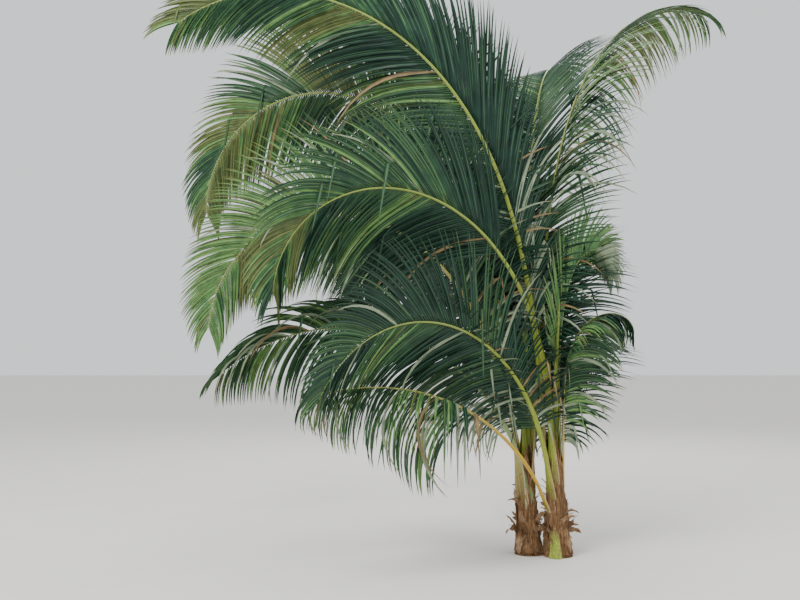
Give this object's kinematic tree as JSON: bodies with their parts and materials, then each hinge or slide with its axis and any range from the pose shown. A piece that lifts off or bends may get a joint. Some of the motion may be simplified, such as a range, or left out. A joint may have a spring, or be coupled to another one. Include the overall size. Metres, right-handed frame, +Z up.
{
  "type": "coconut palm tree",
  "caption": "Young clumping coconut palm: short stems wrapped in brown fibrous leaf bases, with long arching feather fronds rising from the foot, cut flat at the ground.",
  "frame": {"origin": "centre of the main stem's flat cut at ground level", "axes": "+Z up; +X to the right and +Y away, as seen from the picture's side"},
  "size_m": [4.7694, 3.9862, 4.7191],
  "materials": {
    "bark": "rough, ringed with leaf scars",
    "fibre": "matt, ragged woven fibre",
    "frond": "satin leaf",
    "stalk": "smooth, satin"
  },
  "bodies": {
    "root": {"boot_main_back": "fibre", "boot_main_back_right": "fibre", "boot_main_front": "fibre", "boot_main_inside": "fibre", "boot_main_left": "fibre", "boot_main_right": "fibre", "boot_side_back": "fibre", "boot_side_front": "fibre", "boot_side_inside": "fibre", "boot_side_left": "fibre", "boot_side_right": "fibre", "frond_back_inner": "frond", "frond_back_left_inner": "frond", "frond_back_left_outer": "frond", "frond_back_outer": "frond", "frond_back_right_inner": "frond", "frond_back_right_outer": "frond", "frond_far_left_inner": "frond", "frond_far_left_outer": "frond", "frond_front_left_inner": "frond", "frond_front_left_outer": "frond", "frond_inner_back_inner": "frond", "frond_inner_back_outer": "frond", "frond_low_back_inner": "frond", "frond_low_back_outer": "frond", "frond_low_back_right_inner": "frond", "frond_low_back_right_outer": "frond", "frond_low_left_inner": "frond", "frond_low_left_outer": "frond", "frond_low_right_inner": "frond", "frond_low_right_outer": "frond", "frond_lowest_left_inner": "frond", "frond_lowest_left_outer": "frond", "frond_mid_left_inner": "frond", "frond_mid_left_outer": "frond", "frond_top_left_inner": "frond", "frond_top_left_outer": "frond", "frond_top_right_inner": "frond", "frond_top_right_outer": "frond", "frond_upper_left_inner": "frond", "frond_upper_left_outer": "frond", "frond_upright_inner": "frond", "frond_upright_outer": "frond", "spear_main": "stalk", "spear_side": "stalk", "stem_main": "bark", "stem_side": "bark", "stub_main_front": "stalk"}
  },
  "joints": []
}
